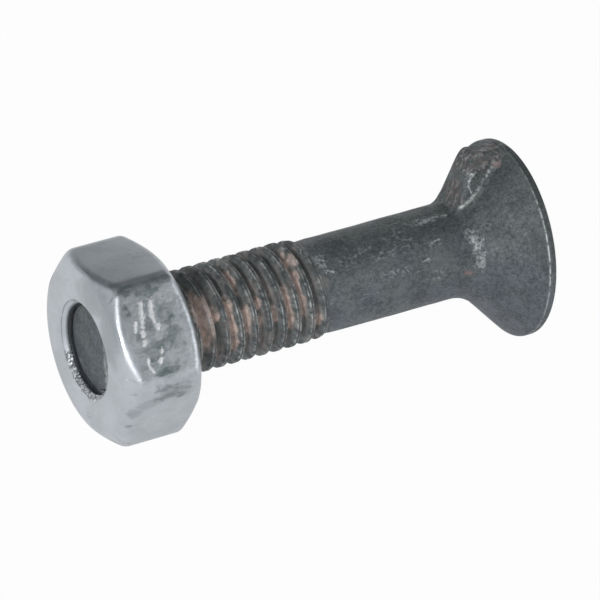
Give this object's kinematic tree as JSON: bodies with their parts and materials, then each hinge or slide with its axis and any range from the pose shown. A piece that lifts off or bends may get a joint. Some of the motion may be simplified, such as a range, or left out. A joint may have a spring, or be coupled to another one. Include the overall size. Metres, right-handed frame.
{
  "type": "plow bolt",
  "caption": "Flat countersunk bolt with one nib under the head, a plain shank and a coarse thread, carrying a hex nut.",
  "frame": {"origin": "centre of the head's flat face", "axes": "+X along the bolt's axis out of the flat of the head, so the thread and nut point to -X; +Z towards the nib; flats of the nut face +Z and -Z"},
  "size_m": [0.0454, 0.0194, 0.0194],
  "materials": {
    "dark_steel": "dark forging scale, matte, with brown rust in the thread and worn bright crests",
    "zinc_plated_steel": "zinc plate, satin, with small dents and dark spots"
  },
  "bodies": {
    "bolt": {"bolt": "dark_steel"},
    "nut": {"nut": "zinc_plated_steel"}
  },
  "joints": [
    {"name": "nut_travel", "type": "slide", "parent": "bolt", "child": "nut", "axis": [1, 0, 0], "range_m": [-0.0075, 0.015]}
  ]
}
